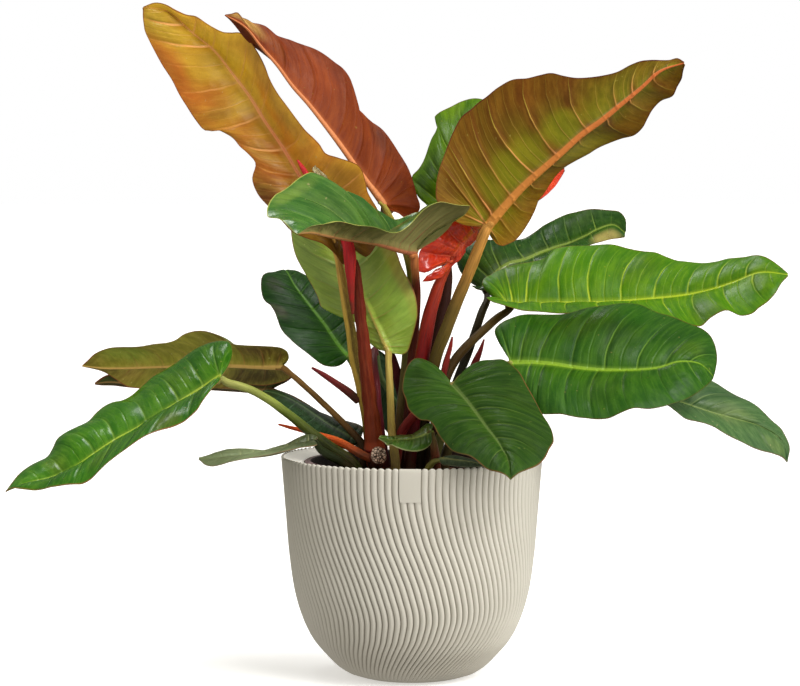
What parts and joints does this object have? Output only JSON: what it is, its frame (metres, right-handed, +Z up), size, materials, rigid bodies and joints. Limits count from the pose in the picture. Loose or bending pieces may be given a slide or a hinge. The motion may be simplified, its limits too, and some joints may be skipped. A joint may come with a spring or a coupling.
{
  "type": "potted orange-leaved philodendron",
  "caption": "Rosette of large arrowhead leaves on long stalks, in a nursery pot standing inside a round ribbed bowl planter.",
  "frame": {"origin": "centre of the planter's flat foot, on the pot's axis at floor level", "axes": "+Z up along the pot's axis, -Y towards the viewer of the picture, +X to the viewer's right"},
  "size_m": [0.7415, 0.3838, 0.644],
  "materials": {
    "planter": "matte",
    "nursery_pot": "satin",
    "soil": "matte",
    "stem_crown": "matte",
    "leaf_01_blade": "gloss",
    "leaf_02_blade": "gloss",
    "leaf_03_blade": "gloss",
    "leaf_04_blade": "gloss",
    "leaf_05_blade": "gloss",
    "leaf_06_blade": "gloss",
    "leaf_07_blade": "gloss",
    "leaf_08_blade": "gloss",
    "leaf_09_blade": "gloss",
    "leaf_10_blade": "gloss",
    "leaf_11_blade": "gloss",
    "leaf_12_blade": "gloss",
    "leaf_13_blade": "gloss",
    "leaf_14_blade": "gloss",
    "leaf_15_blade": "gloss",
    "leaf_16_blade": "gloss",
    "leaf_17_blade": "gloss",
    "leaf_18_blade": "gloss",
    "leaf_19_blade": "gloss",
    "leaf_20_blade": "gloss",
    "leaf_21_blade": "gloss",
    "leaf_01_petiole": "satin",
    "leaf_02_petiole": "satin",
    "leaf_03_petiole": "satin",
    "leaf_04_petiole": "satin",
    "leaf_05_petiole": "satin",
    "leaf_06_petiole": "satin",
    "leaf_07_petiole": "satin",
    "leaf_08_petiole": "satin",
    "leaf_09_petiole": "satin",
    "leaf_10_petiole": "satin",
    "leaf_11_petiole": "satin",
    "leaf_12_petiole": "satin",
    "leaf_13_petiole": "satin",
    "leaf_14_petiole": "satin",
    "leaf_15_petiole": "satin",
    "leaf_16_petiole": "satin",
    "leaf_17_petiole": "satin",
    "leaf_18_petiole": "satin",
    "leaf_19_petiole": "satin",
    "leaf_20_petiole": "satin",
    "leaf_21_petiole": "satin",
    "shoot_sheath": "satin",
    "new_shoot": "satin",
    "cataphyll_1": "satin",
    "cataphyll_2": "satin",
    "cataphyll_3": "satin",
    "cataphyll_4": "satin",
    "cataphyll_5": "satin",
    "cut_stub": "matte"
  },
  "bodies": {
    "root": {"planter": "planter", "nursery_pot": "nursery_pot", "soil": "soil", "stem_crown": "stem_crown", "leaf_01_blade": "leaf_01_blade", "leaf_02_blade": "leaf_02_blade", "leaf_03_blade": "leaf_03_blade", "leaf_04_blade": "leaf_04_blade", "leaf_05_blade": "leaf_05_blade", "leaf_06_blade": "leaf_06_blade", "leaf_07_blade": "leaf_07_blade", "leaf_08_blade": "leaf_08_blade", "leaf_09_blade": "leaf_09_blade", "leaf_10_blade": "leaf_10_blade", "leaf_11_blade": "leaf_11_blade", "leaf_12_blade": "leaf_12_blade", "leaf_13_blade": "leaf_13_blade", "leaf_14_blade": "leaf_14_blade", "leaf_15_blade": "leaf_15_blade", "leaf_16_blade": "leaf_16_blade", "leaf_17_blade": "leaf_17_blade", "leaf_18_blade": "leaf_18_blade", "leaf_19_blade": "leaf_19_blade", "leaf_20_blade": "leaf_20_blade", "leaf_21_blade": "leaf_21_blade", "leaf_01_petiole": "leaf_01_petiole", "leaf_02_petiole": "leaf_02_petiole", "leaf_03_petiole": "leaf_03_petiole", "leaf_04_petiole": "leaf_04_petiole", "leaf_05_petiole": "leaf_05_petiole", "leaf_06_petiole": "leaf_06_petiole", "leaf_07_petiole": "leaf_07_petiole", "leaf_08_petiole": "leaf_08_petiole", "leaf_09_petiole": "leaf_09_petiole", "leaf_10_petiole": "leaf_10_petiole", "leaf_11_petiole": "leaf_11_petiole", "leaf_12_petiole": "leaf_12_petiole", "leaf_13_petiole": "leaf_13_petiole", "leaf_14_petiole": "leaf_14_petiole", "leaf_15_petiole": "leaf_15_petiole", "leaf_16_petiole": "leaf_16_petiole", "leaf_17_petiole": "leaf_17_petiole", "leaf_18_petiole": "leaf_18_petiole", "leaf_19_petiole": "leaf_19_petiole", "leaf_20_petiole": "leaf_20_petiole", "leaf_21_petiole": "leaf_21_petiole", "shoot_sheath": "shoot_sheath", "new_shoot": "new_shoot", "cataphyll_1": "cataphyll_1", "cataphyll_2": "cataphyll_2", "cataphyll_3": "cataphyll_3", "cataphyll_4": "cataphyll_4", "cataphyll_5": "cataphyll_5", "cut_stub": "cut_stub"}
  },
  "joints": []
}
